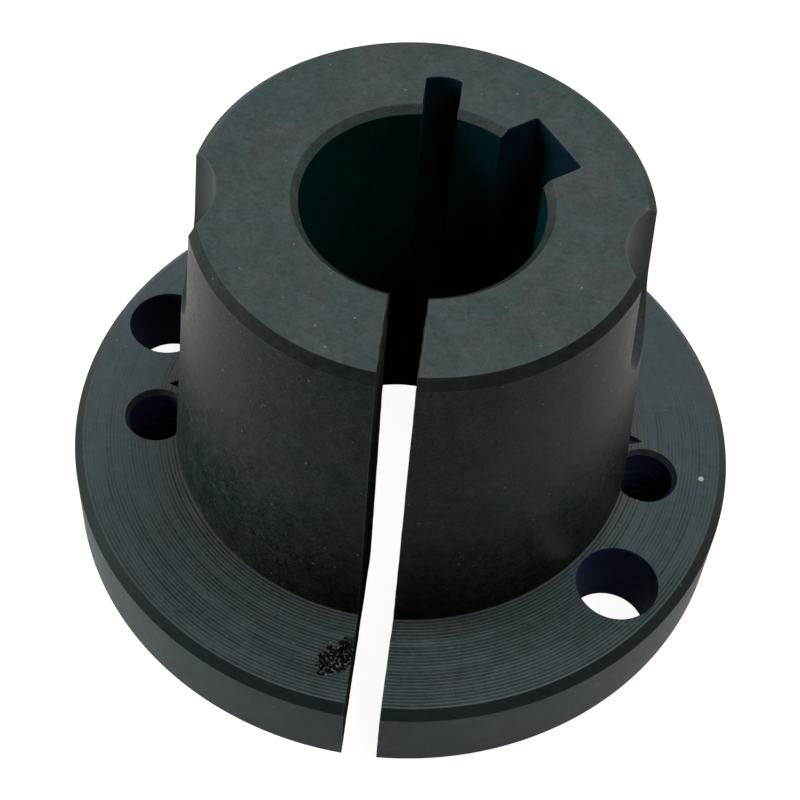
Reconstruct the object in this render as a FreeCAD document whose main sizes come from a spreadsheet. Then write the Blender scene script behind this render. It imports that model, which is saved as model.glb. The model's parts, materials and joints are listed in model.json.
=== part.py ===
import FreeCAD, Part
import os

import Sketcher

# Split taper bush: one turned piece of iron, standing on its flange with the small end up.
# The origin is the centre of the flange's back face, +Z runs up the bore and the split opens
# towards -Y. Lengths are in millimetres. Azimuths are in degrees from +X, counter-clockwise
# seen from above, and distances "from the axis" are measured from the bore's axis.
NODE = "taper_bush"
SIZES = (
    ("barrel_base_diameter", 52.6, "diameter of the barrel where it leaves the flange"),
    ("taper_included_angle", 8.0, "angle between opposite sides of the barrel"),
    ("flange_thickness", 9.8, "back face to the face that the barrel stands on"),
    ("flange_edge_wall", 1.9, "wall between a screw hole and the flange's rim, for a 76 mm flange"),
    ("flange_edge_chamfer", 1.0, "chamfer round the flange's upper edge"),
    ("total_length", 48.0, "back face to small end"),
    ("rim_chamfer", 0.9, "chamfer round the small end's outer edge"),
    ("bore_diameter", 25.0, "shaft bore"),
    ("bore_chamfer", 0.8, "chamfer at both ends of the bore"),
    ("split_azimuth", 270.0, "side on which the wall and the flange are sawn through"),
    ("split_width", 3.8, "saw cut right through the wall and the flange"),
    ("relief_width", 3.7, "slot in the bore opposite the split, where the wall bends"),
    ("relief_depth", 4.6, "bore's wall to the corners of the relief slot's floor"),
    ("relief_end_radius", 4.0, "radius of the relief slot's arched floor"),
    ("relief_shift", 0.4, "how far the relief slot lies off the split's plane"),
    ("relief_web", 3.0, "iron left between the relief slot's lower end and the back face"),
    ("keyway_azimuth", 37.4, "middle of the keyway"),
    ("keyway_width", 8.0, "key width"),
    ("keyway_depth", 3.85, "bore's wall to the keyway's floor, along its middle"),
    ("screw_hole_diameter", 9.0, "clearance for an 8 mm cap screw"),
    ("screw_hole_gap", 0.8, "flange left between the barrel's foot and a screw hole"),
    ("right_screw_azimuth", 324.9, "screw hole on the front right"),
    ("left_screw_azimuth", 160.5, "screw hole on the back left"),
    ("jack_core_diameter", 6.65, "core of an M8 thread, for the screws that push the bush out"),
    ("jack_countersink_diameter", 7.9, "countersink at the upper end of a tapped hole"),
    ("jack_countersink_depth", 0.6, "depth of that countersink"),
    ("jack_offset", 2.2, "how far a tapped hole's axis lies outside the barrel's foot"),
    ("jack_run_out", 0.6, "how far the tap drill bites into the barrel's foot, above the flange"),
    ("jack_azimuth", 353.5, "right tapped hole; the left one mirrors it across the split's plane"),
    ("scallop_radius", 7.5, "half-round clearance for a screw's head, above each tapped hole"),
    ("scallop_depth", 2.93, "depth of a scallop's deepest line at the small end"),
    ("scallop_length", 10.0, "straight part of a scallop, down from the small end"),
)

# Distances from the axis that several features share, each worked out from the sizes above.
BORE = "Sizes.bore_diameter / 2"
BARREL_FOOT = "Sizes.barrel_base_diameter / 2"
SLOPE = "tan(Sizes.taper_included_angle * 1deg / 2)"
SMALL_END = f"({BARREL_FOOT} - (Sizes.total_length - Sizes.flange_thickness) * {SLOPE})"
SCREW_CIRCLE = f"({BARREL_FOOT} + Sizes.screw_hole_gap + Sizes.screw_hole_diameter / 2)"
FLANGE_RIM = f"({SCREW_CIRCLE} + Sizes.screw_hole_diameter / 2 + Sizes.flange_edge_wall)"
JACK_CIRCLE = f"({BARREL_FOOT} + Sizes.jack_offset)"


def sheet_of_sizes(doc):
    """Writes one row a size: its name, its value and what it measures."""
    sheet = doc.addObject("Spreadsheet::Sheet", "Sizes")
    for row, (alias, value, meaning) in enumerate(SIZES, start=1):
        sheet.set(f"A{row}", alias)
        sheet.set(f"B{row}", str(value))
        sheet.setAlias(f"B{row}", alias)
        sheet.set(f"C{row}", meaning)


def origin_part(body, role):
    """Finds one of the body's own planes or axes by its role."""
    return next(item for item in body.Origin.OriginFeatures if item.Role == role)


def new_sketch(body, name, role, azimuth=None, height=None):
    """Lays a sketch on one of the body's planes, turned about +Z to an azimuth if one is given.

    In the turned sketch x runs outwards from the axis, towards that azimuth. A height lifts a
    level sketch above the back face.
    """
    sketch = body.newObject("Sketcher::SketchObject", name)
    sketch.AttachmentSupport = (origin_part(body, role), [""])
    sketch.MapMode = "FlatFace"
    if azimuth is not None:
        upwards = FreeCAD.Vector(0, 0, 1) if role == "XY_Plane" else FreeCAD.Vector(0, 1, 0)
        sketch.AttachmentOffset = FreeCAD.Placement(FreeCAD.Vector(), FreeCAD.Rotation(upwards, 1))
        sketch.setExpression("AttachmentOffset.Rotation.Angle", azimuth)
    if height is not None:
        sketch.setExpression("AttachmentOffset.Base.z", height)
    return sketch


def place(sketch, across, along):
    """The point that two expressions give now."""
    return FreeCAD.Vector(float(sketch.evalExpression(across)), float(sketch.evalExpression(along)), 0)


def bind(sketch, constraint, expression):
    """Adds a constraint and ties its size to an expression."""
    index = sketch.addConstraint(constraint)
    sketch.setExpression(f"Constraints[{index}]", expression)


def pin(sketch, geometry, point, across, along):
    """Ties one end or centre of an edge to two expressions, measured from the sketch's origin."""
    now = place(sketch, across, along)
    bind(sketch, Sketcher.Constraint("DistanceX", -1, 1, geometry, point, now.x), across)
    bind(sketch, Sketcher.Constraint("DistanceY", -1, 1, geometry, point, now.y), along)


def add_outline(sketch, corners, arc_after=None, arc_middle=None, radius=None):
    """Draws a closed outline through corners, each a pair of expressions.

    The edge that follows corner number arc_after is an arc of the given radius, which bulges
    towards arc_middle. All other edges are straight.
    """
    points = [place(sketch, *pair) for pair in corners]
    count = len(points)
    first_end = [1] * count
    for index, start in enumerate(points):
        end = points[(index + 1) % count]
        if index == arc_after:
            middle = place(sketch, *arc_middle)
            sketch.addGeometry(Part.Arc(start, middle, end), False)
            turns_left = (middle - start).cross(end - middle).z > 0
            first_end[index] = 1 if turns_left else 2
            bend = Sketcher.Constraint("Radius", index, sketch.Geometry[index].Radius)
            bind(sketch, bend, radius)
        else:
            sketch.addGeometry(Part.LineSegment(start, end), False)
    for index in range(count):
        after = (index + 1) % count
        last_end = 3 - first_end[index]
        sketch.addConstraint(Sketcher.Constraint("Coincident", index, last_end, after, first_end[after]))
        pin(sketch, index, first_end[index], *corners[index])


def cut_through(body, name, sketch):
    """Cuts a level sketch upwards from its own height, right out of the small end's side."""
    pocket = body.newObject("PartDesign::Pocket", name)
    pocket.Profile = sketch
    pocket.Type = "ThroughAll"
    pocket.Reversed = True
    return pocket


def turn_out(body, name, sketch):
    """Cuts a profile turned a full circle about the sketch's own centre line."""
    groove = body.newObject("PartDesign::Groove", name)
    groove.Profile = sketch
    groove.ReferenceAxis = (sketch, ["Axis0"])
    groove.Angle = 360.0
    return groove


def centre_line(sketch, distance, height):
    """Draws the upright construction line that a hole or scallop is turned about."""
    line = Part.LineSegment(place(sketch, distance, "0"), place(sketch, distance, height))
    index = sketch.addGeometry(line, True)
    pin(sketch, index, 1, distance, "0")
    pin(sketch, index, 2, distance, height)


def turned_blank(body):
    """The turned blank: flange, tapered barrel and chamfered bore in one half section."""
    bore_mouth = f"{BORE} + Sizes.bore_chamfer"
    rim_height = "Sizes.total_length - Sizes.rim_chamfer"
    corners = (
        (BORE, "Sizes.bore_chamfer"),
        (bore_mouth, "0"),
        (FLANGE_RIM, "0"),
        (FLANGE_RIM, "Sizes.flange_thickness - Sizes.flange_edge_chamfer"),
        (f"{FLANGE_RIM} - Sizes.flange_edge_chamfer", "Sizes.flange_thickness"),
        (BARREL_FOOT, "Sizes.flange_thickness"),
        (f"{SMALL_END} + Sizes.rim_chamfer * {SLOPE}", rim_height),
        (f"{SMALL_END} - Sizes.rim_chamfer", "Sizes.total_length"),
        (bore_mouth, "Sizes.total_length"),
        (BORE, "Sizes.total_length - Sizes.bore_chamfer"),
    )
    sketch = new_sketch(body, "half_section", "XZ_Plane")
    add_outline(sketch, corners)
    blank = body.newObject("PartDesign::Revolution", "blank")
    blank.Profile = sketch
    blank.ReferenceAxis = (origin_part(body, "Z_Axis"), [""])
    blank.Angle = 360.0


def slot_outline(width, reach, shift="0"):
    """Four corners of a radial slot, from the bore's axis out to reach, shifted sideways."""
    low = f"{shift} - {width} / 2"
    high = f"{shift} + {width} / 2"
    return (("0", low), (reach, low), (reach, high), ("0", high))


def split_and_slots(body):
    """The saw cut through the wall, the relief slot opposite it and the keyway.

    The relief slot stops short of the back face, so no light shows through it from above.
    """
    split = new_sketch(body, "split_outline", "XY_Plane", "Sizes.split_azimuth")
    add_outline(split, slot_outline("Sizes.split_width", f"2 * {FLANGE_RIM}"))
    cut_through(body, "split", split)

    relief = new_sketch(body, "relief_outline", "XY_Plane", "Sizes.split_azimuth - 180", "Sizes.relief_web")
    corner = f"{BORE} + Sizes.relief_depth"
    half = "Sizes.relief_width / 2"
    radius = "Sizes.relief_end_radius"
    crown = f"{corner} + {radius} - sqrt({radius} ^ 2 - ({half}) ^ 2)"
    shift = "-Sizes.relief_shift"
    corners = slot_outline("Sizes.relief_width", corner, shift)
    add_outline(relief, corners, arc_after=1, arc_middle=(crown, shift), radius=radius)
    cut_through(body, "relief_slot", relief)

    keyway = new_sketch(body, "keyway_outline", "XY_Plane", "Sizes.keyway_azimuth")
    add_outline(keyway, slot_outline("Sizes.keyway_width", f"{BORE} + Sizes.keyway_depth"))
    cut_through(body, "keyway", keyway)


def screw_holes(body):
    """The two plain holes for the screws that draw the bush into its hub."""
    radius = "Sizes.screw_hole_diameter / 2"
    for side in ("right", "left"):
        sketch = new_sketch(body, f"{side}_screw_outline", "XY_Plane", f"Sizes.{side}_screw_azimuth")
        size_now = place(sketch, radius, "0").x
        circle = Part.Circle(place(sketch, SCREW_CIRCLE, "0"), FreeCAD.Vector(0, 0, 1), size_now)
        index = sketch.addGeometry(circle, False)
        pin(sketch, index, 3, SCREW_CIRCLE, "0")
        bind(sketch, Sketcher.Constraint("Radius", index, size_now), radius)
        cut_through(body, f"{side}_screw_hole", sketch)


def tapped_hole(body):
    """The right tapped hole, countersunk at its upper end and run out into the barrel's foot."""
    core = f"{JACK_CIRCLE} + Sizes.jack_core_diameter / 2"
    mouth = f"{JACK_CIRCLE} + Sizes.jack_countersink_diameter / 2"
    face = "Sizes.flange_thickness"
    corners = (
        (JACK_CIRCLE, "0"),
        (core, "0"),
        (core, f"{face} - Sizes.jack_countersink_depth"),
        (mouth, face),
        (core, face),
        (core, f"{face} + Sizes.jack_run_out"),
        (JACK_CIRCLE, f"{face} + Sizes.jack_run_out"),
    )
    sketch = new_sketch(body, "tapped_hole_section", "XZ_Plane", "Sizes.jack_azimuth")
    add_outline(sketch, corners)
    centre_line(sketch, JACK_CIRCLE, face)
    return turn_out(body, "tapped_hole", sketch)


def scallop(body):
    """The right scallop: a half-round groove from the small end down to a ball end."""
    floor = f"{SMALL_END} - Sizes.scallop_depth"
    axis = f"{floor} + Sizes.scallop_radius"
    straight_end = "Sizes.total_length - Sizes.scallop_length"
    lowest = f"{straight_end} - Sizes.scallop_radius"
    above = "Sizes.total_length + Sizes.rim_chamfer"
    corners = ((axis, lowest), (axis, above), (floor, above), (floor, straight_end))
    ball_side = (
        f"{axis} - Sizes.scallop_radius * cos(45deg)",
        f"{straight_end} - Sizes.scallop_radius * sin(45deg)",
    )
    sketch = new_sketch(body, "scallop_section", "XZ_Plane", "Sizes.jack_azimuth")
    add_outline(sketch, corners, arc_after=3, arc_middle=ball_side, radius="Sizes.scallop_radius")
    centre_line(sketch, axis, straight_end)
    return turn_out(body, "scallop", sketch)


def main():
    doc = FreeCAD.newDocument(NODE)
    sheet_of_sizes(doc)
    doc.recompute()
    body = doc.addObject("PartDesign::Body", NODE)
    body.Label = NODE
    turned_blank(body)
    doc.recompute()
    split_and_slots(body)
    doc.recompute()
    screw_holes(body)
    doc.recompute()
    originals = [tapped_hole(body), scallop(body)]
    doc.recompute()
    other_side = body.newObject("PartDesign::Mirrored", "left_tapped_hole_and_scallop")
    other_side.Originals = originals
    other_side.MirrorPlane = (origin_part(body, "YZ_Plane"), [""])
    body.Tip = other_side
    body.Placement = FreeCAD.Placement()
    doc.recompute()

    for item in doc.Objects:
        if "Invalid" in item.State or "Error" in item.State:
            raise RuntimeError(f"{item.Name} failed")
    features = [item for item in body.Group if not item.isDerivedFrom("Sketcher::SketchObject")]
    for before, after in zip(features, features[1:]):
        removed = before.Shape.Volume - after.Shape.Volume
        print(f"{after.Name} removes {removed:.1f} mm3")
        if removed <= 0:
            raise RuntimeError(f"{after.Name} cuts nothing")
    shape = body.Shape
    if shape.isNull() or not shape.isValid() or len(shape.Solids) != 1:
        raise RuntimeError("the bush is not one sound solid")
    os.makedirs("parts", exist_ok=True)
    shape.exportStep(f"parts/{NODE}.step")
    print(f"{NODE}: {shape.Volume / 1000:.2f} cm3, box {shape.BoundBox}")


main()
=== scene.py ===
# %% [markdown]
# # A split taper bush
#
# The real object is one turned piece of iron, blackened all over, that clamps a pulley's hub to
# a shaft. It has a flange, a slightly conical barrel, a keyed bore, a saw cut down one side, and
# plain and tapped holes for the screws that draw it in and push it out.
#
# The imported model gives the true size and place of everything. This script dresses it: it makes
# one finer mesh in the same place, with the marks that the tools left, and gives it its finish.

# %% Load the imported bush
import json

import bpy
import numpy as np
from mathutils import Matrix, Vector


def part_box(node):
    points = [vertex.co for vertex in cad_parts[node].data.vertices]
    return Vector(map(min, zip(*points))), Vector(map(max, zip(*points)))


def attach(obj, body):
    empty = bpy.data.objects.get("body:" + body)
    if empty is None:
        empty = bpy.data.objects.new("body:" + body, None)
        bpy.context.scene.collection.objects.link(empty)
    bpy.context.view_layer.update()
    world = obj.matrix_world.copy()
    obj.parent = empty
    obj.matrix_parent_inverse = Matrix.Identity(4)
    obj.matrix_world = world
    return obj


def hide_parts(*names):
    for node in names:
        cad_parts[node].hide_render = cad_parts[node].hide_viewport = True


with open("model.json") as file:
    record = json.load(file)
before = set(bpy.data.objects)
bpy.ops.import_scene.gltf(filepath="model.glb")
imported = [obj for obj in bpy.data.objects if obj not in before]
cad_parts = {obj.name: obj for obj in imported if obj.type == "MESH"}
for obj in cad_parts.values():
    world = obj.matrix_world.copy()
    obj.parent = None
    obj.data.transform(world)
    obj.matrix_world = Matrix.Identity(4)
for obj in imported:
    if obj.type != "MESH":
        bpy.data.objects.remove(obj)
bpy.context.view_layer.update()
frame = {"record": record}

MM = 0.001
mounts = {mount["name"]: mount for mount in frame["record"]["mounts"]}
lowest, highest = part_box("taper_bush")
print("packed bush, mm:", [round(side / MM, 2) for side in highest - lowest])

# %% [markdown]
# ## Sizes
#
# The flange's radius, the length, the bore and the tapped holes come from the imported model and
# its mounts. The rest are the turner's own sizes, given once here in millimetres. Every angle is
# an azimuth: degrees from +X, counter-clockwise seen from above.

# %% Sizes of the bush
flange_radius = min(highest.x, -lowest.x) / MM
length = highest.z / MM
bore_radius = mounts["bore"]["dims"]["r_mm"]
tap_core_radius = mounts["right_jack_hole"]["dims"]["r_mm"]
tap_x, tap_y = (place / MM for place in mounts["right_jack_hole"]["pos_m"][:2])
screw_hole_radius = mounts["screw_holes"]["dims"]["hole_r_mm"]

flange_thickness = 9.8
flange_chamfer = 1.0
foot_radius = 26.3
half_taper = np.radians(4.0)
rim_chamfer = 0.9
bore_chamfer = 0.8
split_width = 3.8
relief_width = 3.7
relief_depth = 4.6
relief_end_radius = 4.0
relief_shift = 0.4
relief_web = 3.0
keyway_width = 8.0
keyway_depth = 3.85
keyway_azimuth = 37.4
screw_circle = 31.6
screw_azimuths = (324.9, 160.5)
tap_mouth_radius = 3.47
tap_countersink_radius = 3.72
tap_countersink_depth = 0.6
tap_countersink_shift = 0.15
tap_run_out = 0.6
thread_pitch = 1.25
thread_depth = 0.66
scallop_radius = 7.5
scallop_depth = 2.93
scallop_length = 10.0
tap_azimuth = np.degrees(np.arctan2(tap_y, tap_x))

small_end_radius = foot_radius - (length - flange_thickness) * np.tan(half_taper)
print("radius at the small end, mm:", round(small_end_radius, 2))

# %% [markdown]
# ## Finishes, in order
#
# Each face of the mesh carries the number of the tool that cut it, so that a facing mark doesn't
# run on into a drilled hole. The Boolean cut keeps these numbers on the faces that it makes.

# %% Numbers of the finishes
FINISHES = ("ground_taper", "faced_flange", "faced_small_end", "turned_rim", "rim_chamfer",
            "small_chamfers", "end_chamfers", "bored_wall", "drilled_wall", "sawn_wall",
            "slotted_wall", "scalloped_wall")
finish = {name: number for number, name in enumerate(FINISHES)}


# %% [markdown]
# ## Smooth noise
#
# Metal is never perfectly even. One small function gives a repeatable, smooth, random surface:
# random heights on a square lattice, blended between neighbours with a soft S-curve. Its seed is
# fixed, so the mesh is the same on every run.

# %% Lattice noise
def lattice_noise(across, along, seed):
    """Height from -1 to 1 at each pair of coordinates.

    height = blend of the four nearest lattice heights, weighted by 3t^2 - 2t^3 in each direction
    """
    size = 64
    heights = np.random.default_rng(seed).uniform(-1.0, 1.0, (size, size))
    across, along = np.broadcast_arrays(np.asarray(across, float), np.asarray(along, float))
    left, below = np.floor(across).astype(int), np.floor(along).astype(int)
    s, t = across - left, along - below
    s, t = s * s * (3 - 2 * s), t * t * (3 - 2 * t)
    at = lambda i, j: heights[(left + i) % size, (below + j) % size]
    low = at(0, 0) * (1 - s) + at(1, 0) * s
    high = at(0, 1) * (1 - s) + at(1, 1) * s
    return low * (1 - t) + high * t


# %% [markdown]
# ## Meshes from rings
#
# Everything here can be described as a stack of closed rings of points: the turned blank, a
# drilled hole, a slot. So one helper takes an array of rings and joins each to the next with
# quads. The blank's rings close on themselves, like a torus. A cutter's ends get a flat cap.

# %% Rings to mesh
def mesh_from_rings(name, rings, numbers, caps):
    """Makes an object from rings, an array of rows x columns x 3 in millimetres.

    quad (i, j) joins points (i, j), (i, j+1), (i+1, j+1) and (i+1, j), counted round
    numbers: the finish of each row of quads; caps: True closes the ends, False joins them up
    """
    rows, columns = rings.shape[:2]
    index = np.arange(rows * columns).reshape(rows, columns)
    lower = index[:-1] if caps else index
    upper = index[1:] if caps else np.roll(index, -1, axis=0)
    beside = lambda block: np.roll(block, -1, axis=1)
    quads = np.stack([lower, beside(lower), beside(upper), upper], axis=-1)
    faces = quads.reshape(-1, 4).tolist()
    finishes = np.repeat(numbers, columns)
    if caps:
        faces += [index[0, ::-1].tolist(), index[-1].tolist()]
        finishes = np.append(finishes, [numbers[0], numbers[-1]])
    mesh = bpy.data.meshes.new(name)
    mesh.from_pydata((rings.reshape(-1, 3) * MM).tolist(), [], faces)
    mesh.polygons.foreach_set("material_index", finishes.astype(np.int32))
    made = bpy.data.objects.new(name, mesh)
    bpy.context.scene.collection.objects.link(made)
    return made


def circle(radius, azimuths, height, centre=(0.0, 0.0)):
    """Points at (centre + radius cos a, centre + radius sin a, height), as arrays that may vary."""
    radius, height = np.broadcast_arrays(radius, height)
    return np.stack([centre[0] + radius * np.cos(azimuths), centre[1] + radius * np.sin(azimuths),
                     height + 0.0 * azimuths], axis=-1)


# %% [markdown]
# ## The half section
#
# A lathe part is a half section turned about its axis. The section is a list of corners with
# straight runs between them. No real corner is sharp: the last pass of the tool and the blacking
# leave it a little round, and that tiny rounding is what catches the light. So every corner is
# replaced by a short arc, and each straight run starts and ends with a point close to its arc,
# which keeps the shading of the wide faces flat.

# %% Corners of the half section
top_of_barrel = length - rim_chamfer
corners = [
    (bore_radius, bore_chamfer, "small_chamfers"),
    (bore_radius + bore_chamfer, 0.0, "turned_rim"),
    (flange_radius, 0.0, "turned_rim"),
    (flange_radius, flange_thickness - flange_chamfer, "rim_chamfer"),
    (flange_radius - flange_chamfer, flange_thickness, "faced_flange"),
    (foot_radius, flange_thickness, "ground_taper"),
    (small_end_radius + rim_chamfer * np.tan(half_taper), top_of_barrel, "end_chamfers"),
    (small_end_radius - rim_chamfer, length, "faced_small_end"),
    (bore_radius + bore_chamfer, length, "end_chamfers"),
    (bore_radius, length - bore_chamfer, "bored_wall"),
]
section = np.array([corner[:2] for corner in corners])


def rounded_corner(before, corner, after, radius, steps):
    """The arc that replaces a corner, tangent to both runs.

    tangent length = radius tan(turn / 2); arc points = centre + radius at even angles
    """
    towards, onwards = corner - before, after - corner
    towards, onwards = towards / np.linalg.norm(towards), onwards / np.linalg.norm(onwards)
    side = np.sign(towards[0] * onwards[1] - towards[1] * onwards[0])
    turn = np.arccos(np.clip(towards @ onwards, -1.0, 1.0))
    start = corner - towards * radius * np.tan(turn / 2)
    inward = side * np.array([-towards[1], towards[0]])
    centre = start + inward * radius
    angles = np.linspace(0.0, turn, steps)[:, None]
    return centre - inward * radius * np.cos(angles) + towards * radius * np.sin(angles)


# %% [markdown]
# ## Marks of the facing tool
#
# The flange's upper face was cut by a tool that crept outwards while the work turned, so it has
# fine round grooves with a crest between each pair. The grooves are real geometry here, because
# the light that they catch is the first thing one sees. Each groove has its own depth, and the
# ones next to the barrel are deeper. All of them vary on the way round, because the face ran a
# little out of true: the tool bit deepest at the front, and least at the back.

# %% Grooves of the flange's face
feed = 0.40
groove_depth = 0.034
deep_rings = 5
points_per_groove = 4
plain_by_barrel, plain_by_rim = 0.13, 0.12
face_edge = flange_radius - flange_chamfer - plain_by_rim
groove_count = int((face_edge - foot_radius - plain_by_barrel) / feed)
groove_start = face_edge - groove_count * feed
ring_depths = np.random.default_rng(11).uniform(0.70, 1.30, groove_count + 1)
ring_depths[:deep_rings] = (1.9, 1.3, 1.8, 1.2, 1.5)
bite_azimuths = (0, 20, 150, 200, 220, 260, 295, 312, 335, 360)
bite_strengths = (0.38, 0.24, 0.25, 0.33, 0.58, 0.95, 1.05, 1.40, 0.55, 0.40)


def facing_grooves(radii, azimuths):
    """Depth of the face below its crests.

    depth = ring's depth x bite x (1 - (2 phase - 1)^2) x (1 + 0.35 noise), phase 0 to 1 across a groove
    """
    turns = np.clip((radii - groove_start) / feed, 0.0, groove_count - 1e-6)
    ring = turns.astype(int)
    phase = turns - ring
    inside = (turns > 0) & (turns < groove_count - 1e-3)
    uneven = 1 + 0.35 * lattice_noise(np.degrees(azimuths) / 9.0, radii * 1.7, seed=5)
    bite = np.interp(np.degrees(azimuths), bite_azimuths, bite_strengths)
    return groove_depth * ring_depths[ring] * bite * (1 - (2 * phase - 1) ** 2) * uneven * inside


# %% [markdown]
# ## The scuffed patch
#
# Beside the saw cut, on the flange, the face is badly bruised: a rough hollow with torn metal in
# it. Its outline is a leaning ellipse bent by noise, and its floor is coarse noise with fine
# noise on top. The mesh gets extra columns there, so that the torn edges are real too.

# %% Bruise beside the split
scuff_centre = (-3.6, -32.2)
scuff_lean = np.radians(47.0)
scuff_reach = (3.3, 1.6)
scuff_depth = 0.36


def scuff(x, y):
    """Depth of the bruise.

    The ellipse's long axis leans by scuff_lean. depth = scuff_depth x inside x rough floor, where
    inside falls from 1 to 0 across the ellipse's ragged edge
    """
    along = (x - scuff_centre[0]) * np.cos(scuff_lean) + (y - scuff_centre[1]) * np.sin(scuff_lean)
    across = (y - scuff_centre[1]) * np.cos(scuff_lean) - (x - scuff_centre[0]) * np.sin(scuff_lean)
    distance = np.hypot(along / scuff_reach[0], across / scuff_reach[1]) - 0.14 * along
    noise = lambda per_mm, seed: lattice_noise(x * per_mm, y * per_mm, seed=seed)
    ragged = distance + 0.42 * noise(1.8, 21) + 0.2 * noise(4, 24)
    inside = np.clip((1.0 - ragged) / 0.3, 0.0, 1.0)
    floor = 0.55 + 0.5 * noise(2.6, 22) + 0.35 * noise(6, 23)
    return scuff_depth * inside * np.clip(floor, 0.0, 1.3)


# %% [markdown]
# ## The turned blank
#
# The runs between the corners are filled with as many points as each needs: about a hundred on
# the grooved face, a few on the plain ones. Then the whole section is swept round in one go: one
# array of radii and one of heights against one array of azimuths.

# %% Section points
edge_radius = 0.13
arc_steps = 4
guard = 0.05
run_points = {"faced_flange": groove_count * points_per_groove + 1, "ground_taper": 46,
              "bored_wall": 10, "faced_small_end": 8, "turned_rim": 5, "rim_chamfer": 2,
              "small_chamfers": 2, "end_chamfers": 2}
following = np.roll(section, -1, axis=0)
arcs = [rounded_corner(section[i - 1], section[i], following[i], edge_radius, arc_steps)
        for i in range(len(section))]
path, path_finish = [], []
for i, arc in enumerate(arcs):
    name = corners[i][2]
    ahead = arcs[(i + 1) % len(arcs)][0]
    step = (ahead - arc[-1]) / np.linalg.norm(ahead - arc[-1])
    run = np.linspace(arc[-1] + step * guard, ahead - step * guard, run_points[name])
    path.append(np.concatenate([arc, run]))
    path_finish += [finish[name]] * (len(arc) + len(run))
path = np.concatenate(path)
path_finish = np.array(path_finish)
print("points round the section:", len(path))

# %% Sweep the section
fine_from, fine_to = 256.5, 267.5
coarse_step, fine_step = 1.25, 0.25
barrel_waviness = 0.006
azimuths = np.radians(np.concatenate([
    np.arange(0.0, fine_from, coarse_step), np.arange(fine_from, fine_to, fine_step),
    np.arange(fine_to, 360.0, coarse_step)]))
radii = np.repeat(path[:, :1], len(azimuths), axis=1)
heights = np.repeat(path[:, 1:], len(azimuths), axis=1)
on_flange = (path_finish == finish["faced_flange"])[:, None] & (heights > flange_thickness - 0.01)
ground = (path_finish == finish["ground_taper"])[:, None]
heights = heights - on_flange * facing_grooves(radii, azimuths)
heights = heights - on_flange * scuff(radii * np.cos(azimuths), radii * np.sin(azimuths))
waves = lattice_noise(np.degrees(azimuths) / 9.0, heights / 3.0, seed=3)
radii = radii - ground * barrel_waviness * (1 + waves)
blank = mesh_from_rings("turned_bush", circle(radii, azimuths, heights), path_finish, caps=False)
print("blank:", len(blank.data.polygons), "faces")

# %% [markdown]
# ## Cutters
#
# Each hole and slot is cut by a solid of its own, as in the workshop. A cutter is a stack of
# rings too. Near the faces that it breaks through, a ring is a little wider, which leaves the
# small broken edge that a file or a countersink leaves.

# %% Levels and broken edges
below, above = -1.0, length + 1.0
edge_break = 0.12
cutters = []


def add_cutter(name, rings, numbers):
    """Adds a cutter with closed ends. numbers: the finish of each row of quads, or one for all."""
    numbers = np.broadcast_to(numbers, len(rings) - 1)
    cutters.append(mesh_from_rings(name, rings, numbers, caps=True))


def at_levels(flat, heights):
    """Rings from flat ones, rows x columns x 2, and one height for each row."""
    heights = np.broadcast_to(heights[:, None, None], flat.shape[:2] + (1,))
    return np.concatenate([flat, heights], axis=2)


def levels_through(low, high, rows):
    """Heights of a cutter's rings, and how much wider each ring is.

    extra width = edge break at a face, falling to nothing at that distance inside it
    """
    inner = np.linspace(low + edge_break, high - edge_break, rows)
    heights = np.concatenate([[below], [low], inner, [high], [above]])
    extra = np.concatenate([[edge_break, edge_break], np.zeros(rows), [edge_break, edge_break]])
    return heights, extra


def slot_rings(outline, rows=24, floor=None):
    """A slot's rings: the outline at each height, moved outwards by the broken edge.

    outline: points x 2, counter-clockwise; the outward normal of a point is the mean of its edges'
    floor: where a blind slot starts, or None for one that goes right through
    """
    heights, extra = levels_through(0.0, length, rows)
    if floor is not None:
        heights, extra = heights[2:], extra[2:]
        heights = np.maximum(heights, floor)
        keep = np.append(np.diff(heights) > 0, True)
        heights, extra = heights[keep], extra[keep]
    forward = np.roll(outline, -1, axis=0) - outline
    normal = np.stack([forward[:, 1], -forward[:, 0]], axis=1)
    normal /= np.linalg.norm(normal, axis=1)[:, None]
    normal = normal + np.roll(normal, 1, axis=0)
    normal /= np.linalg.norm(normal, axis=1)[:, None]
    return at_levels(outline[None] + extra[:, None, None] * normal[None], heights)


def turned_to(points, azimuth):
    """Points given with x outwards, turned about the axis to an azimuth in degrees."""
    a = np.radians(azimuth)
    spin = np.array([[np.cos(a), np.sin(a)], [-np.sin(a), np.cos(a)]])
    return points @ spin


# %% [markdown]
# ## The split
#
# A saw went through the wall and the flange on one side, so that the bore can be squeezed shut on
# the shaft. Its two walls aren't quite flat, and they are torn at the small end, where the saw
# came through. So each wall is a run of points, pushed in and out by noise.

# %% Split cutter
split_sway, split_tear, torn_length = 0.025, 0.10, 1.1


def split_rings():
    """Rings of the saw cut: two long walls with noise, most of it near the small end.

    x = +-(half width + sway x coarse noise + tear x fine noise x closeness to the small end)
    """
    along = np.linspace(1.0, 2.0 * flange_radius, 90)
    half = np.full_like(along, split_width / 2)
    outline = np.concatenate([np.stack([along, -half], axis=1), np.stack([along[::-1], half], axis=1)])
    rings = slot_rings(outline, rows=110)
    side = np.sign(rings[..., 1])
    near_end = np.clip((rings[..., 2] - length + torn_length) / torn_length, 0.0, 1.0)
    sway = lattice_noise(rings[..., 0] * 0.8 + side * 9, rings[..., 2] * 0.8, seed=31)
    torn = lattice_noise(rings[..., 0] * 3.2 + side * 7, rings[..., 2] * 3.2, seed=32)
    rings[..., 1] += side * (split_sway * sway + split_tear * near_end * torn)
    rings[..., :2] = turned_to(rings[..., :2], 270.0)
    return rings


add_cutter("split_cutter", split_rings(), finish["sawn_wall"])

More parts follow.
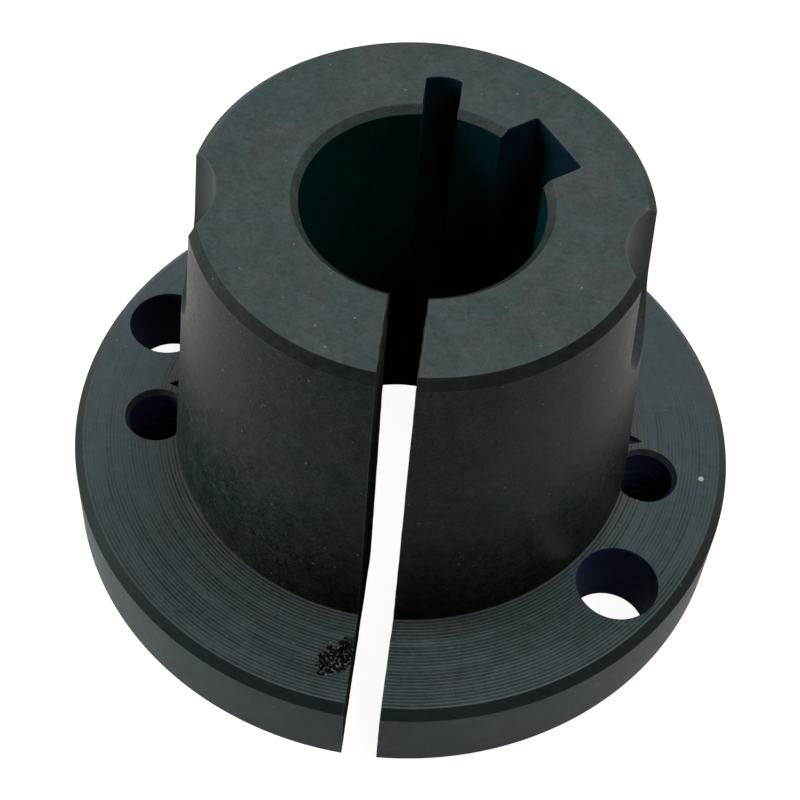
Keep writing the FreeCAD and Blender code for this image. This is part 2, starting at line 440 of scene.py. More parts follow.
# %% [markdown]
# ## Relief slot and keyway
#
# Opposite the split a narrow slot thins the wall, so that the bush closes evenly like a hinge.
# Its floor is slightly arched, and it stops a little above the back face. The keyway is a plain
# square groove for the key that carries the torque, and the tool's corners leave small radii in
# it. Both are outlines carried down the bore.

# %% Slot outlines
keyway_corner = 0.25
slot_start = 1.0


def arched_slot(width, reach, end_radius, shift):
    """Outline of a slot with an arched end.

    x = reach + sqrt(R^2 - y^2) - sqrt(R^2 - half width^2)
    """
    across = np.linspace(-width / 2, width / 2, 13)
    arch = reach + np.sqrt(end_radius ** 2 - across ** 2) - np.sqrt(end_radius ** 2 - width ** 2 / 4)
    end = np.stack([arch, across + shift], axis=1)
    return np.concatenate([[[slot_start, shift - width / 2]], end, [[slot_start, shift + width / 2]]])


def square_slot(width, reach, corner_radius):
    """Outline of a square slot with small round corners at its floor."""
    first, low, high, last = np.array([(slot_start, -width / 2), (reach, -width / 2),
                                       (reach, width / 2), (slot_start, width / 2)])
    return np.concatenate([[first], rounded_corner(first, low, high, corner_radius, 5),
                           rounded_corner(low, high, last, corner_radius, 5), [last]])


relief = arched_slot(relief_width, bore_radius + relief_depth, relief_end_radius, -relief_shift)
keyway = square_slot(keyway_width, bore_radius + keyway_depth, keyway_corner)
add_cutter("relief_cutter", slot_rings(turned_to(relief, 90.0), floor=relief_web), finish["slotted_wall"])
add_cutter("keyway_cutter", slot_rings(turned_to(keyway, keyway_azimuth)), finish["slotted_wall"])

# %% [markdown]
# ## Screw holes
#
# Two plain drilled holes take the screws that pull the bush into its hub. They aren't opposite
# each other. A drilled wall isn't perfectly smooth, so the radius changes very slightly with the
# height, in rings.

# %% Drilled holes
wall_ripple = 0.012
above_the_hole = flange_thickness + 4.0
round_the_hole = np.linspace(0.0, 2 * np.pi, 84, endpoint=False)
for number, azimuth in enumerate(screw_azimuths):
    heights, extra = levels_through(0.0, flange_thickness, 20)
    heights[-1] = above_the_hole
    wall = screw_hole_radius + extra + wall_ripple * lattice_noise(heights * 2.5, number, seed=41)
    centre = turned_to(np.array([screw_circle, 0.0]), azimuth)
    rings = circle(wall[:, None], round_the_hole, heights[:, None], centre)
    add_cutter(f"screw_cutter_{number}", rings, finish["drilled_wall"])

# %% [markdown]
# ## Tapped holes
#
# Two holes have a thread, for the screws that push the bush out again. A thread is a helix, but
# as a surface it is simple: a tube whose radius depends on height and angle together. Moving up
# by one pitch is the same as going once round. The tap drill bites a little into the barrel's
# foot, and the upper mouth is countersunk.

# %% Threaded cutter
thread_top = flange_thickness + tap_run_out
thread_flank, thread_flat, thread_fade = 0.8, 0.88, 1.7
step_up = 0.02
round_the_thread = np.linspace(0.0, 2 * np.pi, 54, endpoint=False)


def thread_rings(centre, start_angle, shift_angle):
    """Rings of a tapped hole.

    radius = core + depth x (1 - |2 phase - 1| / 0.8) kept between 0 and 0.88
    phase = height / pitch - angle / 2 pi; the thread fades out over 1.7 mm at both ends
    The countersink widens the upper end: radius = the larger of the thread and the cone. Its centre
    is off the hole's by tap_countersink_shift in the direction shift_angle.
    """
    cone_foot = flange_thickness - tap_countersink_depth
    heights = np.concatenate([[below], np.linspace(0.0, cone_foot, 80), [cone_foot + step_up],
                              [flange_thickness], [flange_thickness + 0.003], [thread_top]])[:, None]
    phase = (heights / thread_pitch - (round_the_thread + start_angle) / (2 * np.pi)) % 1.0
    groove = np.clip(1.0 - np.abs(2 * phase - 1) / thread_flank, 0.0, thread_flat)
    fade = np.clip(np.minimum(heights, cone_foot - heights) / thread_fade, 0.0, 1.0)
    down = (flange_thickness - heights) / tap_countersink_depth
    shifted = tap_countersink_radius + tap_countersink_shift * np.cos(round_the_thread - shift_angle)
    cone = shifted - (shifted - tap_mouth_radius) * down
    cone = np.where((down < 0) | (down > 0.999), tap_core_radius, cone)
    radius = np.maximum(tap_core_radius + thread_depth * groove * fade, cone)
    return circle(radius, round_the_thread, heights, centre)


for name, side in (("right", 1.0), ("left", -1.0)):
    rings = thread_rings((side * tap_x, tap_y), start_angle=1.1 * side, shift_angle=np.pi / 2 - side)
    middles = (rings[1:, 0, 2] + rings[:-1, 0, 2]) / 2
    cone_starts = flange_thickness - tap_countersink_depth + step_up
    in_countersink = (middles > cone_starts) & (middles < flange_thickness)
    numbers = np.where(in_countersink, finish["small_chamfers"], finish["drilled_wall"])
    add_cutter(f"{name}_tap_cutter", rings, numbers)

# %% [markdown]
# ## Scallops
#
# Above each tapped hole the barrel has a half-round hollow, cut down from the small end by a
# round-nosed cutter. As a cutter it is a tube with a ball end.

# %% Scallop cutters
scallop_axis = small_end_radius - scallop_depth + scallop_radius
ball_centre = length - scallop_length
round_the_scallop = np.linspace(0.0, 2 * np.pi, 128, endpoint=False)
swing = np.radians(np.linspace(2.0, 90.0, 30))
straight = np.linspace(ball_centre, above, 12)[1:]
wall = np.concatenate([scallop_radius * np.sin(swing), np.full(len(straight), scallop_radius)])
heights = np.concatenate([ball_centre - scallop_radius * np.cos(swing), straight])
for name, azimuth in (("right", tap_azimuth), ("left", 180.0 - tap_azimuth)):
    centre = turned_to(np.array([scallop_axis, 0.0]), azimuth)
    rings = circle(wall[:, None], round_the_scallop, heights[:, None], centre)
    add_cutter(f"{name}_scallop_cutter", rings, finish["scalloped_wall"])

# %% [markdown]
# ## Nicks at the barrel's foot
#
# Behind each tapped hole a small three-cornered nick runs out from the barrel's foot. It is a
# wedge that narrows downwards.

# %% Nick cutters
nick = np.array([(26.0, 0.85), (26.9, 1.1), (28.0, 1.55), (27.3, 2.0), (26.7, 2.25), (26.0, 2.3)])
nick_levels = flange_thickness + np.array([-0.5, -0.2, 0.02, 0.35])
nick_shrink = np.array([0.45, 0.8, 1.0, 1.0])
middle = nick.mean(axis=0)
right_nick = middle + (nick - middle) * nick_shrink[:, None, None]
left_nick = (right_nick * (-1.0, 1.0))[:, ::-1]
# the nicks take the dark drilled-wall finish, painted shade on top of the shade of their real hollow
for name, flat in (("right", right_nick), ("left", left_nick)):
    add_cutter(f"{name}_nick_cutter", at_levels(flat, nick_levels), finish["drilled_wall"])

# %% [markdown]
# ## Cutting
#
# One Boolean modifier takes all the cutters away from the blank at once. The exact solver keeps
# the result closed. Its result becomes the mesh, the cutters are deleted, and edges that turn
# sharply are marked so that smooth shading stops at them.

# %% Cut the blank
tools = bpy.data.collections.new("cutters")
bpy.context.scene.collection.children.link(tools)
for cutter in cutters:
    bpy.context.scene.collection.objects.unlink(cutter)
    tools.objects.link(cutter)
cut = blank.modifiers.new("cut", "BOOLEAN")
cut.operation = "DIFFERENCE"
cut.operand_type = "COLLECTION"
cut.collection = tools
cut.solver = "EXACT"
cut.use_self = False
bpy.context.view_layer.update()
cut_mesh = bpy.data.meshes.new_from_object(blank.evaluated_get(bpy.context.evaluated_depsgraph_get()))
blank.modifiers.clear()
blank.data = cut_mesh
for cutter in cutters:
    bpy.data.objects.remove(cutter)
bpy.data.collections.remove(tools)
bush = blank
bush.name = "blackened_bush"
bush.data.shade_smooth()
sharp_from = 28.0
bush.data.set_sharp_from_angle(angle=np.radians(sharp_from))
bush.data.calc_loop_triangles()
print("cut bush:", len(bush.data.polygons), "faces,", len(bush.data.loop_triangles), "triangles")

# %% [markdown]
# ## Tools for the finishes
#
# A finish is a small network of shader nodes. These helpers keep each network readable: one adds
# a node and sets its inputs by name, one joins an output to an input, and the others each do one
# step of arithmetic or mixing. An input that is given as a socket is joined, and one given as a
# number is just set.

# %% Node helpers
def add_node(tree, kind, settings=None, **inputs):
    """Adds a node. settings are its own properties; inputs are its sockets, by name or by number."""
    node = tree.nodes.new(kind)
    for key, value in (settings or {}).items():
        setattr(node, key, value)
    for key, value in inputs.items():
        numbered = key.startswith("in") and key[2:].isdigit()
        plug_in(tree, value, node.inputs[int(key[2:]) if numbered else key.replace("_", " ")])
    return node


def plug_in(tree, value, socket):
    """Joins value to the socket if it is an output, and otherwise writes it there."""
    if isinstance(value, bpy.types.NodeSocket):
        tree.links.new(value, socket)
    else:
        socket.default_value = value


def calculate(tree, operation, first, second=0.0, third=0.0, clamp=False):
    """One Math node's output. MULTIPLY_ADD is first x second + third."""
    return add_node(tree, "ShaderNodeMath", {"operation": operation, "use_clamp": clamp},
                    in0=first, in1=second, in2=third).outputs[0]


def stretch(tree, value, low, high, to_low=0.0, to_high=1.0):
    """Maps low..high smoothly onto to_low..to_high and stops there."""
    return add_node(tree, "ShaderNodeMapRange", {"interpolation_type": "SMOOTHSTEP"}, Value=value,
                    From_Min=low, From_Max=high, To_Min=to_low, To_Max=to_high).outputs[0]


def noise_at(tree, place, scale, detail, roughness=0.5, distortion=0.0):
    """One Noise node's output."""
    return add_node(tree, "ShaderNodeTexNoise", Vector=place, Scale=scale, Detail=detail,
                    Roughness=roughness, Distortion=distortion).outputs[0]


def mix_numbers(tree, amount, first, second):
    """One number Mix node's output."""
    return add_node(tree, "ShaderNodeMix", {"data_type": "FLOAT"},
                    in0=amount, in2=first, in3=second).outputs[0]


def mix_colours(tree, amount, first, second):
    """One colour Mix node's output."""
    return add_node(tree, "ShaderNodeMix", {"data_type": "RGBA"},
                    in0=amount, in6=first, in7=second).outputs[2]


def scale_colour(tree, colour, factor):
    """A colour, or any vector, times a number."""
    return add_node(tree, "ShaderNodeVectorMath", {"operation": "SCALE"},
                    in0=colour, in3=factor).outputs[0]


def distance_from_axis(tree, place):
    """How far a point is from the bore's axis: the length of (x, y, 0)."""
    flat = add_node(tree, "ShaderNodeCombineXYZ", X=place["X"], Y=place["Y"], Z=0.0).outputs[0]
    return add_node(tree, "ShaderNodeVectorMath", {"operation": "LENGTH"}, in0=flat).outputs["Value"]


def start_group(name, inputs, outputs):
    """A new node group with named sockets. inputs: name -> default; outputs: name -> socket type."""
    tree = bpy.data.node_groups.new(name, "ShaderNodeTree")
    for label, value in inputs.items():
        kind = "NodeSocketFloat" if isinstance(value, float) else \
            "NodeSocketVector" if len(value) == 3 else "NodeSocketColor"
        tree.interface.new_socket(label, in_out="INPUT", socket_type=kind).default_value = value
    for label, kind in outputs.items():
        tree.interface.new_socket(label, in_out="OUTPUT", socket_type=kind)
    return tree, tree.nodes.new("NodeGroupInput").outputs, tree.nodes.new("NodeGroupOutput").inputs


def place_group(tree, group, **inputs):
    """Places a node group in a material and sets its inputs."""
    return add_node(tree, "ShaderNodeGroup", {"node_tree": group}, **inputs).outputs


# %% [markdown]
# ## The blackened skin
#
# Hot blacking turns iron a matt grey-black, but never an even one. From near, the skin shows
# clouds a few millimetres wide that lean to blue-green or to brown, a mottling about a
# millimetre wide, a fine grain, light flecks drawn out along the cut, and tiny bright specks
# where dust lies. One group makes all of that, so that each finish of the bush shares the same
# skin in its own strength.

# %% Skin group
skin, skin_in, skin_out = start_group(
    "blackened_skin",
    {"Coordinates": (0.0, 0.0, 0.0), "Cool shade": (0.04, 0.05, 0.05, 1.0),
     "Warm shade": (0.05, 0.05, 0.05, 1.0), "Clouds": 0.5, "Mottling": 0.5, "Grain": 0.5, "Flecks": 0.5,
     "Fleck flattening": 1.0, "Specks": 0.5, "Roughness": 0.55},
    {"Color": "NodeSocketColor", "Roughness": "NodeSocketFloat", "Height": "NodeSocketFloat"})
millimetres = scale_colour(skin, skin_in["Coordinates"], 1 / MM)
dullest_tone = 0.2


def skin_noise(scale, detail, roughness, distortion=0.0, at=millimetres):
    """Noise round 0, with about scale features in a millimetre."""
    return calculate(skin, "SUBTRACT", noise_at(skin, at, scale, detail, roughness, distortion), 0.5)


clouds = skin_noise(0.28, 4.0, 0.6, 0.5)
mottling = skin_noise(1.1, 4.0, 0.65, 0.8)
grain = skin_noise(4.2, 3.0, 0.7)
hue = stretch(skin, skin_noise(0.17, 4.0, 0.6, 0.6), -0.14, 0.14)
shade = mix_colours(skin, hue, skin_in["Cool shade"], skin_in["Warm shade"])
tone = calculate(skin, "MULTIPLY_ADD", clouds, skin_in["Clouds"], 1.0)
tone = calculate(skin, "MULTIPLY_ADD", mottling, skin_in["Mottling"], tone)
tone = calculate(skin, "MULTIPLY_ADD", grain, skin_in["Grain"], tone)
shade = scale_colour(skin, shade, calculate(skin, "MAXIMUM", tone, dullest_tone))

# %% Flecks and specks of the skin
fleck_colour = (0.105, 0.115, 0.110, 1.0)
dust_colour = (0.20, 0.22, 0.21, 1.0)
largest_speck = 0.15
rougher_mottling = 0.35
flattened = add_node(skin, "ShaderNodeCombineXYZ", X=1.0, Y=1.0, Z=skin_in["Fleck flattening"]).outputs[0]
drawn_out = add_node(skin, "ShaderNodeVectorMath", {"operation": "MULTIPLY"},
                     in0=millimetres, in1=flattened).outputs[0]
fleck = stretch(skin, skin_noise(1.7, 3.0, 0.6, 0.7, drawn_out), 0.15, 0.30)
fleck = calculate(skin, "MULTIPLY", fleck, skin_in["Flecks"], clamp=True)
shade = mix_colours(skin, fleck, shade, fleck_colour)
cells = add_node(skin, "ShaderNodeTexVoronoi", Vector=millimetres, Scale=0.85)
size = add_node(skin, "ShaderNodeSeparateColor", Color=cells.outputs["Color"]).outputs[0]
speck_reach = calculate(skin, "MULTIPLY", calculate(skin, "POWER", size, 4.0), largest_speck)
speck_reach = calculate(skin, "MAXIMUM", speck_reach, 0.001)
closeness = calculate(skin, "DIVIDE", cells.outputs["Distance"], speck_reach)
speck = calculate(skin, "MULTIPLY", stretch(skin, closeness, 1.2, 0.5), skin_in["Specks"], clamp=True)
skin.links.new(mix_colours(skin, speck, shade, dust_colour), skin_out["Color"])
roughness = calculate(skin, "MULTIPLY_ADD", mottling, rougher_mottling, skin_in["Roughness"])
skin.links.new(roughness, skin_out["Roughness"])
skin.links.new(calculate(skin, "ADD", grain, mottling), skin_out["Height"])

# %% [markdown]
# ## Marks of the tools
#
# Turning and boring leave fine lines: rings on a face, and level bands on a wall. One group
# gives both. It measures how far a point is from the axis, or how high it is, and turns that one
# number into a fine band pattern that breaks up a little.

# %% Tool-mark group
marks, marks_in, marks_out = start_group(
    "tool_marks",
    {"Coordinates": (0.0, 0.0, 0.0), "Lines per mm": 2.0, "Along the axis": 0.0, "Breaking up": 0.5},
    {"Height": "NodeSocketFloat"})
marked_point = add_node(marks, "ShaderNodeSeparateXYZ", Vector=marks_in["Coordinates"]).outputs
travel = mix_numbers(marks, marks_in["Along the axis"], distance_from_axis(marks, marked_point),
                     marked_point["Z"])
travel = calculate(marks, "MULTIPLY", travel, 1 / MM)
lines = calculate(marks, "MULTIPLY", travel, marks_in["Lines per mm"])
bands = add_node(marks, "ShaderNodeTexNoise", {"noise_dimensions": "1D"}, W=lines, Scale=1.0,
                 Detail=3.0).outputs[0]
broken = stretch(marks, noise_at(marks, marks_in["Coordinates"], 350.0, 3.0), 0.25, 0.65, 1.0, 0.0)
strength = mix_numbers(marks, marks_in["Breaking up"], 1.0, broken)
marks.links.new(calculate(marks, "MULTIPLY", bands, strength), marks_out["Height"])

# %% [markdown]
# ## Worn edges
#
# Where two faces meet, handling rubs the blacking off and greyish metal shows. The Bevel node
# finds those places: it gives the normal that the surface would have with rounded edges, and
# where that differs from the true one there is an edge. Noise breaks the line up.

# %% Edge-wear group
wear_width = 0.25
wear, wear_in, wear_out = start_group(
    "edge_wear", {"Coordinates": (0.0, 0.0, 0.0), "Amount": 0.5, "Patchiness": 0.6},
    {"Mask": "NodeSocketFloat"})
rounded = add_node(wear, "ShaderNodeBevel", {"samples": 4}, Radius=wear_width * MM).outputs[0]
true_normal = add_node(wear, "ShaderNodeNewGeometry").outputs["Normal"]
agreement = add_node(wear, "ShaderNodeVectorMath", {"operation": "DOT_PRODUCT"},
                     in0=rounded, in1=true_normal).outputs["Value"]
edge = stretch(wear, agreement, 0.995, 0.90)
patches = stretch(wear, noise_at(wear, wear_in["Coordinates"], 900.0, 4.0, 0.7), 0.35, 0.65)
patches = mix_numbers(wear, wear_in["Patchiness"], 1.0, patches)
worn_off = calculate(wear, "MULTIPLY", edge, patches)
wear.links.new(calculate(wear, "MULTIPLY", worn_off, wear_in["Amount"], clamp=True), wear_out["Mask"])

# %% [markdown]
# ## A finish for each tool
#
# Every finish is the same skin in its own strength, with its own tool marks and wear. The walls of
# the bore, the slots and the drilled and tapped holes are set far darker than the faces outside,
# with little or no shine: their own dark blacking plus painted shade for the inside of those
# hollows. The ground taper is the smoothest, and the saw leaves coarse lines. The skin is an oxide
# and no longer bare metal, so it isn't set metallic: it is dark and matt, with very little shine.
# That shine and its slight blue-green tint are the same all over a finish, so they are set on the
# shader itself.

# %% Finish recipes
shine_tint = (0.70, 1.0, 0.98, 1.0)
worn_colour = (0.12, 0.128, 0.122, 1.0)
grain_height = 0.022
recipes = {
    # name: cool shade, warm shade, and on the second line clouds, mottling, grain, flecks,
    # fleck flattening, specks, roughness, shine, lines per mm, along the axis, height of the
    # marks in mm, worn edges
    "ground_taper": ((0.0112, 0.0180, 0.0163), (0.0155, 0.0202, 0.0170),
                     1.3, 2.8, 3.3, 1.3, 2.5, 0.5, 0.38, 0.055, 1.6, 1.0, 0.001, 0.4),
    "faced_flange": ((0.041, 0.060, 0.066), (0.049, 0.061, 0.067),
                     0.7, 1.2, 1.0, 0.2, 1.0, 0.5, 0.55, 0.04, 2.2, 0.0, 0.001, 0.4),
    "faced_small_end": ((0.039, 0.055, 0.057), (0.048, 0.055, 0.059),
                        0.7, 1.0, 0.6, 0.5, 1.0, 0.5, 0.55, 0.04, 1.2, 0.0, 0.002, 0.6),
    "turned_rim": ((0.037, 0.052, 0.058), (0.043, 0.052, 0.057),
                   0.9, 1.2, 0.9, 0.3, 3.0, 0.5, 0.50, 0.055, 3.0, 1.0, 0.004, 0.5),
    "rim_chamfer": ((0.0050, 0.0075, 0.0095), (0.0065, 0.0080, 0.0088),
                    0.6, 1.2, 1.0, 0.2, 1.0, 0.3, 0.45, 0.09, 5.0, 1.0, 0.002, 0.3),
    "small_chamfers": ((0.026, 0.034, 0.035), (0.032, 0.037, 0.037),
                       0.8, 1.4, 1.0, 0.2, 2.0, 0.4, 0.55, 0.03, 5.0, 1.0, 0.002, 0.4),
    # bored, drilled and slotted walls: dark blacking plus painted shade for the hollows
    "bored_wall": ((0.0006, 0.0180, 0.0180), (0.0012, 0.0160, 0.0190),
                   0.8, 0.8, 0.4, 0.0, 1.0, 0.0, 0.60, 0.0, 3.0, 1.0, 0.002, 0.0),
    "drilled_wall": ((0.0085, 0.0165, 0.0440), (0.0110, 0.0160, 0.0340),
                     0.8, 0.8, 0.6, 0.0, 1.0, 0.0, 0.60, 0.01, 3.0, 1.0, 0.002, 0.0),
    "sawn_wall": ((0.0250, 0.0330, 0.0340), (0.0280, 0.0325, 0.0320),
                  0.8, 1.0, 0.8, 0.0, 1.0, 0.0, 0.65, 0.0, 4.0, 0.0, 0.010, 0.0),
    "slotted_wall": ((0.0035, 0.0150, 0.0230), (0.0045, 0.0135, 0.0210),
                     0.8, 1.0, 0.8, 0.0, 1.0, 0.0, 0.60, 0.01, 4.0, 0.0, 0.004, 0.0),
    "scalloped_wall": ((0.024, 0.034, 0.036), (0.031, 0.034, 0.037),
                       0.8, 1.3, 1.0, 0.4, 2.0, 0.5, 0.50, 0.06, 1.4, 1.0, 0.003, 0.8),
}
recipes["end_chamfers"] = recipes["small_chamfers"]


def distance_to(tree, coordinates, spot):
    """Distance in millimetres from a spot given in millimetres."""
    return add_node(tree, "ShaderNodeVectorMath", {"operation": "DISTANCE"},
                    in0=scale_colour(tree, coordinates, 1 / MM), in1=spot).outputs["Value"]


def start_finish(name):
    """Builds a finish from its recipe: skin, tool marks, worn edges and the bump of the first two.

    Gives back the material, its tree, its coordinates, and the colour before it reaches the shader.
    """
    (cool, warm, clouds_in, mottling_in, grain_in, flecks_in, flattening, specks_in, rough, shine,
     per_mm, axial, mark_height, worn) = recipes[name]
    material = bpy.data.materials.new(name)
    material.use_nodes = True
    tree = material.node_tree
    shader = tree.nodes["Principled BSDF"]
    shader.inputs["Specular Tint"].default_value = shine_tint
    shader.inputs["Specular IOR Level"].default_value = shine
    coordinates = add_node(tree, "ShaderNodeTexCoord").outputs["Object"]
    skin_here = place_group(tree, skin, Coordinates=coordinates, Cool_shade=cool + (1.0,),
                            Warm_shade=warm + (1.0,), Clouds=clouds_in, Mottling=mottling_in,
                            Grain=grain_in, Flecks=flecks_in, Fleck_flattening=flattening,
                            Specks=specks_in, Roughness=rough)
    marks_here = place_group(tree, marks, Coordinates=coordinates, Lines_per_mm=per_mm,
                             Along_the_axis=axial)
    wear_here = place_group(tree, wear, Coordinates=coordinates, Amount=worn)
    colour = mix_colours(tree, wear_here["Mask"], skin_here["Color"], worn_colour)
    grain_bump = add_node(tree, "ShaderNodeBump", Strength=1.0, Distance=grain_height * MM,
                          Height=skin_here["Height"])
    mark_bump = add_node(tree, "ShaderNodeBump", Strength=1.0, Distance=mark_height * MM * 4,
                         Height=marks_here["Height"], Normal=grain_bump.outputs[0])
    tree.links.new(skin_here["Roughness"], shader.inputs["Roughness"])
    tree.links.new(mark_bump.outputs[0], shader.inputs["Normal"])
    return material, tree, coordinates, colour


# %% [markdown]
# ## The faced flange
#
# This finish needs more. The crests between the facing grooves are rubbed lighter, and browner
# next to the barrel. Dark blacking collects in the grooves, so the colour follows the height. The
# bruise beside the split is black, with torn chips of bright metal, and there is one pale speck on
# the right.

# %% Colour of the flange's face
crest_rubbed, crest_by_barrel = (0.090, 0.108, 0.117, 1.0), (0.125, 0.118, 0.104, 1.0)
rubbing, groove_dimming = 0.45, 0.58
bruise_colour, chip_colour = (0.0015, 0.0020, 0.0022, 1.0), (0.13, 0.14, 0.14, 1.0)
bruise_reach, bruise_core = 3.6, 2.8
hollow_from, hollow_to = 0.035, 0.10
speck_place, speck_colour = (34.9, -2.7, flange_thickness), (0.40, 0.46, 0.28, 1.0)
speck_edge, speck_core = 0.38, 0.26


def finish_flange(tree, coordinates, colour):
    """Colours the grooves by their depth, then the bruise and the speck by their distance."""
    height = add_node(tree, "ShaderNodeSeparateXYZ", Vector=coordinates).outputs["Z"]
    depth = calculate(tree, "SUBTRACT", flange_thickness, calculate(tree, "MULTIPLY", height, 1 / MM))
    uneven = noise_at(tree, coordinates, 700.0, 4.0, 0.7)
    reach_down = calculate(tree, "MULTIPLY_ADD", uneven, 0.9 * groove_depth, 0.45 * groove_depth)
    crest = stretch(tree, calculate(tree, "DIVIDE", depth, reach_down), 1.0, 0.0)
    from_middle = distance_to(tree, coordinates, (0.0, 0.0, flange_thickness))
    by_the_barrel = stretch(tree, from_middle, foot_radius + 0.3, foot_radius + 2.7, 1.0, 0.0)
    rubbed = mix_colours(tree, by_the_barrel, crest_rubbed, crest_by_barrel)
    crest_colour = mix_colours(tree, rubbing, colour, rubbed)
    colour = mix_colours(tree, crest, scale_colour(tree, colour, groove_dimming), crest_colour)
    bruise_at = scuff_centre + (flange_thickness,)
    in_bruise = stretch(tree, distance_to(tree, coordinates, bruise_at), bruise_reach, bruise_core)
    dark = calculate(tree, "MULTIPLY", in_bruise, stretch(tree, depth, hollow_from, hollow_to))
    colour = mix_colours(tree, dark, colour, bruise_colour)
    torn = noise_at(tree, scale_colour(tree, coordinates, 1 / MM), 2.4, 3.0, 0.6)
    chips = calculate(tree, "MULTIPLY", dark, stretch(tree, torn, 0.55, 0.62))
    colour = mix_colours(tree, chips, colour, chip_colour)
    pale = stretch(tree, distance_to(tree, coordinates, speck_place), speck_edge, speck_core)
    return mix_colours(tree, pale, colour, speck_colour)


# %% [markdown]
# ## The barrel's foot
#
# The barrel's colour darkens smoothly towards its foot, where it meets the flange: this is
# painted shade for that corner. The painted shade reaches highest beside the split and opposite
# it, less high on the right, and least high on the left.

# %% Painted shade at the foot
painted_shade_top, painted_shade_bottom = 28.0, -4.0
deepest_painted_shade = 0.12
painted_shade_drop, painted_shade_lean = 0.8, 0.45


def paint_shade_at_foot(tree, coordinates, colour):
    """Scales the colour by height as painted shade: 0.12 in the corner, 1 above it.

    unshaded from 28 - 0.8 |x| + 0.45 x mm above the flange
    """
    millimetres = scale_colour(tree, coordinates, 1 / MM)
    place = add_node(tree, "ShaderNodeSeparateXYZ", Vector=millimetres).outputs
    drop = calculate(tree, "MULTIPLY", calculate(tree, "ABSOLUTE", place["X"]), painted_shade_drop)
    lean = calculate(tree, "MULTIPLY", place["X"], painted_shade_lean)
    above_flange = calculate(tree, "SUBTRACT", place["Z"], flange_thickness)
    above_painted_shade = calculate(tree, "SUBTRACT", calculate(tree, "ADD", above_flange, drop), lean)
    unshaded_factor = stretch(tree, above_painted_shade, painted_shade_bottom, painted_shade_top, deepest_painted_shade, 1.0)
    return scale_colour(tree, colour, unshaded_factor)


# %% [markdown]
# ## Chamfers of the small end
#
# Both chamfers of the small end get painted shade on the side of the split and painted light
# opposite it. So their colour is scaled by how far round from the split they are.

# %% Painted shade by the split
painted_shade_by_split, painted_light_opposite = 0.36, 1.25


def paint_shade_by_the_split(tree, coordinates, colour):
    """Scales the colour as painted shade and light: 0.36 beside the split, 1.25 on the other side.

    side = (y - 0.2 x) / distance from the axis, which is about -1 beside the split and 1 opposite it
    """
    place = add_node(tree, "ShaderNodeSeparateXYZ", Vector=coordinates).outputs
    from_split = calculate(tree, "SUBTRACT", place["Y"], calculate(tree, "MULTIPLY", place["X"], 0.2))
    side = calculate(tree, "DIVIDE", from_split, distance_from_axis(tree, place))
    return scale_colour(tree, colour, stretch(tree, side, -1.0, 0.3, painted_shade_by_split, painted_light_opposite))


# %% Make all finishes
face_finish = np.zeros(len(bush.data.polygons), np.int32)
bush.data.polygons.foreach_get("material_index", face_finish)
bush.data.materials.clear()
for name in FINISHES:
    material, tree, coordinates, colour = start_finish(name)
    if name == "faced_flange":
        colour = finish_flange(tree, coordinates, colour)
    # the small end's chamfers get painted shade beside the split and painted light opposite it
    if name == "end_chamfers":
        colour = paint_shade_by_the_split(tree, coordinates, colour)
    # the ground taper gets painted shade towards its foot
    if name == "ground_taper":
        colour = paint_shade_at_foot(tree, coordinates, colour)
    tree.links.new(colour, tree.nodes["Principled BSDF"].inputs["Base Color"])
    bush.data.materials.append(material)
bush.data.polygons.foreach_set("material_index", face_finish)
face_counts = np.bincount(face_finish, minlength=len(FINISHES)).tolist()
print("faces of each finish:", dict(zip(FINISHES, face_counts)))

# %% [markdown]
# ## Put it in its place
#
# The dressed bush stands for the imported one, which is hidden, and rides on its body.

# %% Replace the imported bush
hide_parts("taper_bush")
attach(bush, "root")

# %% [markdown]
# ## Floor
#
# The bush stands on a plain table with a pale matt surface, which throws soft light up onto the
# rim. Where the camera sees the table, or a reflection of it, some white is added, so that it
# looks as white as in a catalogue and the shadow stays faintly visible.

# %% White table
def seen_directly(tree):
    """1 where a camera ray, a reflection or a ray through something clear arrives, and 0 elsewhere."""
    path = add_node(tree, "ShaderNodeLightPath").outputs
    seen = calculate(tree, "MAXIMUM", path["Is Camera Ray"], path["Is Glossy Ray"])
    return calculate(tree, "MAXIMUM", seen, path["Is Transmission Ray"])


table_grey, shadow_grey, added_white = 0.45, 0.25, 0.94
white = (1.0, 1.0, 1.0, 1.0)


def make_table_white():
    """A matt surface for the light, and white with a faint shadow where it is seen directly."""
    material = bpy.data.materials.new("white_table")
    material.use_nodes = True
    tree = material.node_tree
    tree.nodes.remove(tree.nodes["Principled BSDF"])
    matt, faint = (add_node(tree, "ShaderNodeBsdfDiffuse", Color=(grey, grey, grey, 1.0)).outputs[0]
                   for grey in (table_grey, shadow_grey))
    glow = add_node(tree, "ShaderNodeEmission", Color=white, Strength=added_white).outputs[0]
    bright = add_node(tree, "ShaderNodeAddShader", in0=faint, in1=glow).outputs[0]
    surface = add_node(tree, "ShaderNodeMixShader", in0=seen_directly(tree), in1=matt, in2=bright)
    tree.links.new(surface.outputs[0], tree.nodes["Material Output"].inputs["Surface"])
    return material


table_half = 3.0
table_gap = 0.0002
table_corners = [(x * table_half, y * table_half, 0) for x, y in ((-1, -1), (1, -1), (1, 1), (-1, 1))]
table_mesh = bpy.data.meshes.new("table")
table_mesh.from_pydata(table_corners, [], [(0, 1, 2, 3)])
table_mesh.materials.append(make_table_white())
table = bpy.data.objects.new("table", table_mesh)
table.location.z = -table_gap
bpy.context.scene.collection.objects.link(table)

# %% [markdown]
# ## Light
#
# The light comes from a low lamp on the left, high ones on the right and behind, and a weak one
# in front. The front of the barrel stays darker than its sides, which mirror the white table and
# the room at a flat angle. Each lamp is an area lamp that faces the bush. The room around is an
# even world, white where it is seen directly and dim as a light.

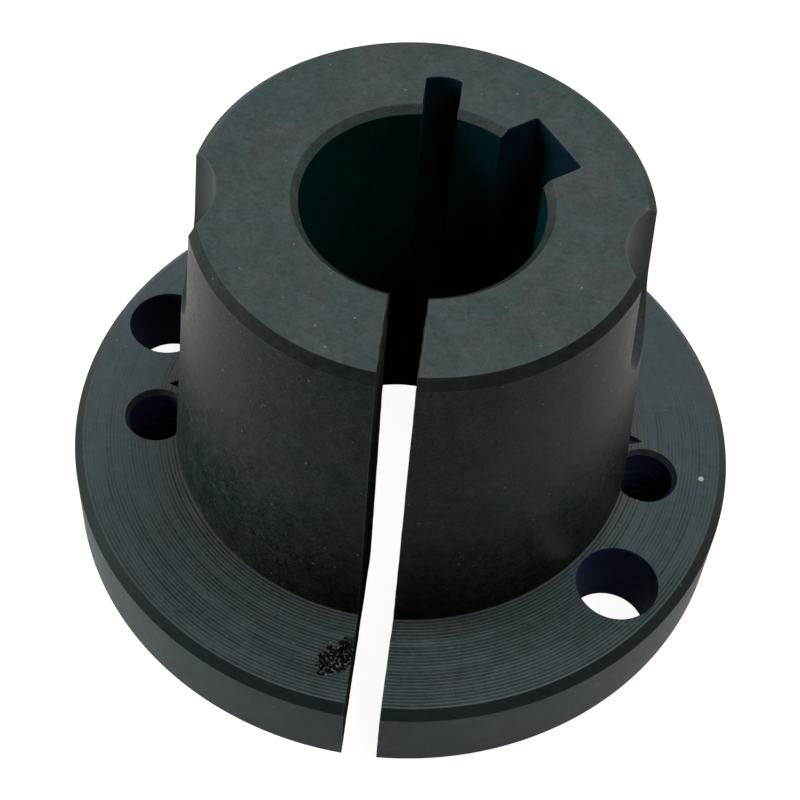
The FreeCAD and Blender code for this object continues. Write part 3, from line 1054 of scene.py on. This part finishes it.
# %% Lamps and world
def soft_lamp(name, azimuth, elevation, distance, size, power):
    """An area lamp at an azimuth and elevation, turned so that it faces the middle of the bush."""
    lamp = bpy.data.lights.new(name, "AREA")
    lamp.shape = "DISK"
    lamp.size = size
    lamp.energy = power
    holder = bpy.data.objects.new(name, lamp)
    a, e = np.radians(azimuth), np.radians(elevation)
    away = np.array([np.cos(e) * np.cos(a), np.cos(e) * np.sin(a), np.sin(e)])
    across = np.array([-np.sin(a), np.cos(a), 0.0])
    turned = Matrix(np.stack([across, np.cross(away, across), away], axis=1).tolist()).to_4x4()
    turned.translation = (away * distance + np.array([0.0, 0.0, length * MM / 2])).tolist()
    holder.matrix_world = turned
    bpy.context.scene.collection.objects.link(holder)


soft_lamp("left_lamp", azimuth=180.0, elevation=25.0, distance=0.6, size=0.3, power=3.3)
soft_lamp("right_lamp", azimuth=10.0, elevation=66.0, distance=0.6, size=0.3, power=1.35)
soft_lamp("back_lamp", azimuth=60.0, elevation=60.0, distance=0.7, size=0.4, power=2.1)
soft_lamp("front_lamp", azimuth=-62.0, elevation=42.0, distance=0.6, size=0.25, power=0.6)

room_light, room_white = 0.04, 1.0
world = bpy.data.worlds.new("pale_room")
world.use_nodes = True
bpy.context.scene.world = world
room = world.node_tree
room_strength = add_node(room, "ShaderNodeMapRange", Value=seen_directly(room), To_Min=room_light,
                         To_Max=room_white).outputs[0]
plug_in(room, white, room.nodes["Background"].inputs["Color"])
plug_in(room, room_strength, room.nodes["Background"].inputs["Strength"])

# %% [markdown]
# ## Camera
#
# The camera's place and lens were fitted to the edges in the photograph. The matrix's columns are
# its right, its up, and the way from the bush to the camera, and the last one is its place in metres.

# %% Camera
camera = bpy.data.cameras.new("camera")
camera.sensor_width = 36.0
camera.lens = 81.25
camera.clip_start = 0.01
camera_holder = bpy.data.objects.new("camera", camera)
camera_holder.matrix_world = Matrix((
    (0.99202, -0.12277, 0.02876, 0.00535),
    (0.11526, 0.79035, -0.60172, -0.12477),
    (0.05114, 0.60023, 0.79819, 0.17963),
    (0.0, 0.0, 0.0, 1.0)))
bpy.context.scene.collection.objects.link(camera_holder)
bpy.context.scene.camera = camera_holder
bpy.context.scene.view_settings.view_transform = "Standard"
